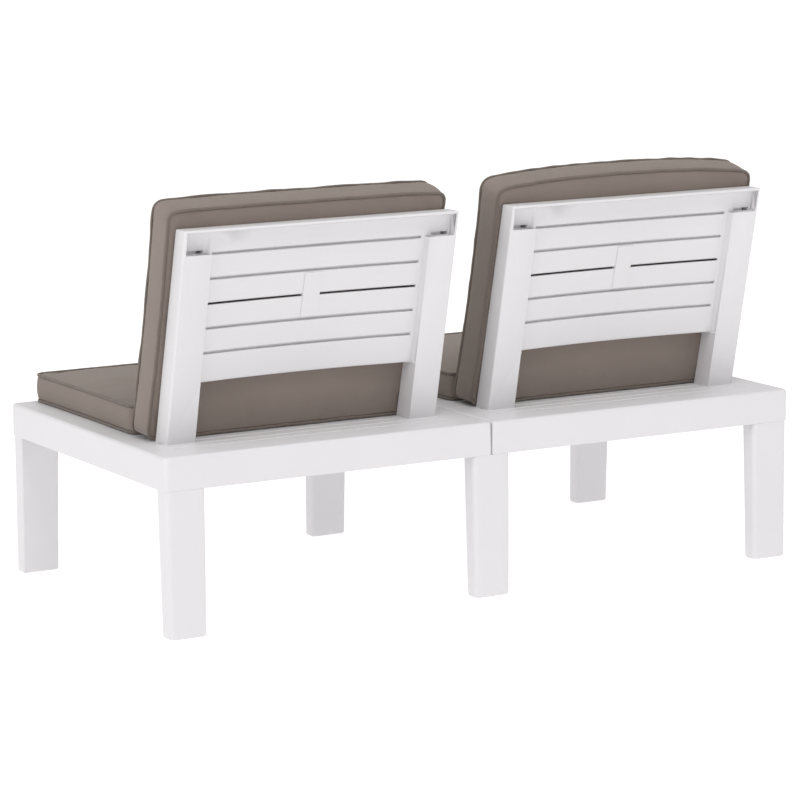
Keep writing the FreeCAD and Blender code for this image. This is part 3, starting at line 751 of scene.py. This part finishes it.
def zip_tree():
    """Geometry nodes: a flat tape along X, and a row of coil turns standing on it, left and right."""
    tree = bpy.data.node_groups.new("zip_coil_on_tape", "GeometryNodeTree")
    tree.interface.new_socket("Geometry", in_out="INPUT", socket_type="NodeSocketGeometry")
    for name, kind in (("Length", "NodeSocketFloat"), ("Width", "NodeSocketFloat"),
                       ("Turns", "NodeSocketInt"), ("Tape", "NodeSocketMaterial"),
                       ("Coil", "NodeSocketMaterial")):
        tree.interface.new_socket(name, in_out="INPUT", socket_type=kind)
    tree.interface.new_socket("Geometry", in_out="OUTPUT", socket_type="NodeSocketGeometry")
    given = tree.nodes.new("NodeGroupInput").outputs
    result = tree.nodes.new("NodeGroupOutput").inputs
    join, link = tree.nodes.new("GeometryNodeJoinGeometry"), tree.links.new

    size = tree.nodes.new("ShaderNodeCombineXYZ")
    size.inputs["Y"].default_value = zip_thickness
    link(given["Length"], size.inputs["X"])
    link(given["Width"], size.inputs["Z"])
    tape = tree.nodes.new("GeometryNodeMeshCube")
    link(size.outputs["Vector"], tape.inputs["Size"])
    dyed = tree.nodes.new("GeometryNodeSetMaterial")
    link(tape.outputs["Mesh"], dyed.inputs["Geometry"])
    link(given["Tape"], dyed.inputs["Material"])
    link(dyed.outputs["Geometry"], join.inputs["Geometry"])

    start = tree.nodes.new("ShaderNodeCombineXYZ")
    start.inputs["Y"].default_value = zip_thickness * 0.9
    half = tree.nodes.new("ShaderNodeMath")
    half.operation = "MULTIPLY"
    half.inputs[1].default_value = -0.5
    link(given["Length"], half.inputs[0])
    link(half.outputs["Value"], start.inputs["X"])
    pitch = tree.nodes.new("ShaderNodeMath")
    pitch.operation = "DIVIDE"
    link(given["Length"], pitch.inputs[0])
    link(given["Turns"], pitch.inputs[1])
    step = tree.nodes.new("ShaderNodeCombineXYZ")
    link(pitch.outputs["Value"], step.inputs["X"])
    row = tree.nodes.new("GeometryNodeMeshLine")
    link(given["Turns"], row.inputs["Count"])
    link(start.outputs["Vector"], row.inputs["Start Location"])
    link(step.outputs["Vector"], row.inputs["Offset"])

    odd = tree.nodes.new("ShaderNodeMath")
    odd.operation = "MODULO"
    odd.inputs[1].default_value = 2.0
    link(tree.nodes.new("GeometryNodeInputIndex").outputs["Index"], odd.inputs[0])
    aside = tree.nodes.new("ShaderNodeMath")
    aside.operation = "MULTIPLY_ADD"
    aside.inputs[1].default_value = coil_stagger
    aside.inputs[2].default_value = -coil_stagger / 2
    link(odd.outputs["Value"], aside.inputs[0])
    shift = tree.nodes.new("ShaderNodeCombineXYZ")
    link(aside.outputs["Value"], shift.inputs["Z"])
    staggered = tree.nodes.new("GeometryNodeSetPosition")
    link(row.outputs["Mesh"], staggered.inputs["Geometry"])
    link(shift.outputs["Vector"], staggered.inputs["Offset"])
    turn = tree.nodes.new("GeometryNodeMeshCube")
    turn.inputs["Size"].default_value = coil_turn_size
    spread = tree.nodes.new("GeometryNodeInstanceOnPoints")
    link(staggered.outputs["Geometry"], spread.inputs["Points"])
    link(turn.outputs["Mesh"], spread.inputs["Instance"])
    real = tree.nodes.new("GeometryNodeRealizeInstances")
    link(spread.outputs["Instances"], real.inputs["Geometry"])
    coated = tree.nodes.new("GeometryNodeSetMaterial")
    link(real.outputs["Geometry"], coated.inputs["Geometry"])
    link(given["Coil"], coated.inputs["Material"])
    link(coated.outputs["Geometry"], join.inputs["Geometry"])
    link(join.outputs["Geometry"], result["Geometry"])
    return tree


zip_coil = zip_tree()


def bars(name, boxes, edge):
    """A small part made of plain bars, each given by two corners, with its edges broken."""
    made = bpy.data.meshes.new(name)
    shell = bmesh.new()
    for low, high in boxes:
        size = Vector(high) - Vector(low)
        middle = (Vector(high) + Vector(low)) / 2
        fit = Matrix.Translation(middle) @ Matrix.Diagonal((*size, 1))
        bmesh.ops.create_cube(shell, size=1.0, matrix=fit)
    shell.to_mesh(made)
    shell.free()
    piece = bpy.data.objects.new(name, made)
    bpy.context.collection.objects.link(piece)
    rounding = piece.modifiers.new("edges", "BEVEL")
    rounding.width = edge
    rounding.segments = 2
    fixed(piece)
    return piece


def zip_fastener(body, zip_place):
    """The zip in the rear strip: its tape and coil, and a slider with a small pull, closed."""
    carrier = bpy.data.objects.new(body + "_zip_chain", bpy.data.meshes.new(body + "_zip_chain"))
    bpy.context.collection.objects.link(carrier)
    coil = carrier.modifiers.new("coil", "NODES")
    coil.node_group = zip_coil
    set_input(coil, "Length", zip_length)
    set_input(coil, "Width", zip_width)
    set_input(coil, "Turns", coil_turns)
    set_input(coil, "Tape", zip_tape_finish)
    set_input(coil, "Coil", zip_coil_finish)
    fixed(carrier)
    slider = bars(body + "_zip_pull", slider_bars, slider_edge)
    slider.data.materials.append(slider_finish)
    for piece, node, slot in ((carrier, "zip", "zip_tape"), (slider, "zip_slider", "zip_slider_metal")):
        piece.data.transform(zip_place)
        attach(piece, body)
        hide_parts(f"{body}_{node}")


cad_cord_radius = 0.0026
cover_fill = 0.8          # how full of foam a cover is


def finished_pad(name, pattern, points, place, finish):
    """The cover's cloth as a plain, once subdivided mesh in its place."""
    rough = bpy.data.objects.new(name + "_cut", pattern.mesh(name + "_cut", points, place))
    bpy.context.collection.objects.link(rough)
    smooth = rough.modifiers.new("smooth", "SUBSURF")
    smooth.levels = smooth.render_levels = 1
    seen = bpy.context.evaluated_depsgraph_get()
    made = bpy.data.meshes.new_from_object(rough.evaluated_get(seen), depsgraph=seen)
    bpy.data.objects.remove(rough)
    made.name = name
    made.materials.clear()
    made.materials.append(finish)
    made.shade_smooth()
    piece = bpy.data.objects.new(name, made)
    bpy.context.collection.objects.link(piece)
    return piece


def dressed_cushion(body, place, width, length, thickness, low_side, high_side, swelling, seed, mirror,
                    crowns, rooms, fill, **cut):
    """One cushion: its cover, the foam in it and both cords, each on the cushion's own body."""
    pattern = PadPattern(width, length, thickness, **cut)
    pattern.build()
    points, cords = stuffed_cover(pattern, swelling, *crowns, *rooms, seed, mirror)
    cover = finished_pad(body + "_canvas_cover", pattern, points, place, taupe_canvas)
    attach(cover, body)
    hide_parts(body + "_cover")

    gap = 0.0045
    slab = PadPattern(width - 2 * gap, length - 2 * gap, thickness - 2 * gap, cell=0.018,
                      near_seam=(0.0, 0.006, 0.011, 0.011), far_radius=0.02, heel_radius=0.015, waist=0.003)
    slab_points = slab.build()
    slab_place = place @ Matrix.Translation((0, gap, gap))
    foam = finished_pad(body + "_foam_slab", slab, slab_points, slab_place, foam_finish)
    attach(foam, body)
    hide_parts(body + "_foam")

    # the strip's own slope at the heel, and the middle of the strip there
    slope = math.atan2(pattern.wedge, thickness)
    strip_middle = (0, length + pattern.wedge / 2 + zip_thickness * 0.6, thickness / 2)
    zip_fastener(body, place @ Matrix.Translation(strip_middle) @ Matrix.Rotation(slope, 4, "X"))

    for side, path in ((low_side, cords[0]), (high_side, cords[1])):
        name = f"{body}_cord_{side}"
        cord = bpy.data.objects.new(name, piping_cord(name, path, place, cord_radius, seed + 11))
        # the cord's darker canvas is painted shade along the seam
        cord.data.materials.append(painted_shade_piping)
        bpy.context.collection.objects.link(cord)
        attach(cord, body)
        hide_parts(f"{body}_piping_{side}")


def cushion_axes(body, low_side, high_side):
    """Where a cushion's flat pattern goes, and its size between seams, from its piping's boxes."""
    low = [Vector(c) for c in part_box(f"{body}_piping_{low_side}")]
    high = [Vector(c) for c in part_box(f"{body}_piping_{high_side}")]
    r = Vector((cad_cord_radius,) * 3)
    low_a, low_b = low[0] + r, low[1] - r
    high_a, high_b = high[0] + r, high[1] - r
    width = low_b.x - low_a.x
    middle = (low_a.x + low_b.x) / 2
    return low_a, low_b, high_a, high_b, width, middle


seat_cut = {"far_radius": 0.017, "heel_radius": 0.015, "waist": 0.003}
low_a, low_b, high_a, high_b, seat_width, _ = cushion_axes("seat_cushion_left", "bottom", "top")
seat_length, seat_thickness = low_b.y - low_a.y, high_a.z - low_a.z
seat_pattern = PadPattern(seat_width, seat_length, seat_thickness, **seat_cut)
seat_pattern.build()
seat_swelling = inflated(seat_pattern)
seat_crowns = (0.004, 0.010)   # how far the bottom and the top swell
rests_on_deck = 0.0021


def on_the_deck(u, v):
    return np.full(u.shape, rests_on_deck)


def open_above(u, v):
    return np.full(u.shape, 0.03)


for side, mirror, seed in (("left", False, 21), ("right", True, 57)):
    body = "seat_cushion_" + side
    low_a, low_b, high_a, high_b, width, middle = cushion_axes(body, "bottom", "top")
    place = Matrix.Translation((middle, low_a.y, low_a.z))
    dressed_cushion(body, place, width, seat_length, seat_thickness, "bottom", "top", seat_swelling,
                    seed, mirror, seat_crowns, (on_the_deck, open_above), cover_fill, **seat_cut)


# Back cushions. The same make, a little thicker, leaning on the posts and standing on the deck;
# the foam has settled, so the foot is flat and the upper edge is arched.
low_a, low_b, high_a, high_b, _, _ = cushion_axes("back_cushion_left", "front", "back")
lean = math.atan2(low_b.y - low_a.y, low_b.z - low_a.z)
back_length = (low_b.z - low_a.z) / math.cos(lean)
back_thickness = (high_b.y - low_b.y) / math.cos(lean)
down = Vector((0, -math.sin(lean), -math.cos(lean)))
backwards = Vector((0, math.cos(lean), -math.sin(lean)))
back_cuts = {
    "left": {"far_radius": 0.014, "heel_radius": 0.014, "waist": 0.003, "arch": -0.001, "drop": 0.004,
             "wedge": 0.0105},
    "right": {"far_radius": 0.017, "heel_radius": 0.014, "waist": 0.004, "arch": 0.008, "drop": 0.006,
              "wedge": 0.0105},
}
back_crowns = (0.011, 0.011)   # the front and the back
post_inside = 0.19


def behind_the_cushion(u, v):
    """The posts hold the pad flat; between them it settles back into the bowed panel and the gap."""
    between = np.clip((post_inside - np.abs(u)) / 0.03, 0, 1)
    gap = np.clip((v - 0.31) / 0.04, 0, 1)
    return 0.0021 + between * (0.0012 + 0.006 * gap)


for side, seed in (("left", 83), ("right", 131)):
    body = "back_cushion_" + side
    low_a, low_b, high_a, high_b, width, middle = cushion_axes(body, "front", "back")
    place = Matrix.Translation((middle, low_b.y, low_b.z)) @ Matrix((
        (1, down.x, backwards.x, 0), (0, down.y, backwards.y, 0), (0, down.z, backwards.z, 0), (0, 0, 0, 1)))
    back_pattern = PadPattern(width, back_length, back_thickness, **back_cuts[side])
    back_pattern.build()
    back_swelling = inflated(back_pattern)
    dressed_cushion(body, place, width, back_length, back_thickness, "front", "back", back_swelling,
                    seed, False, back_crowns, (open_above, behind_the_cushion), cover_fill,
                    **back_cuts[side])
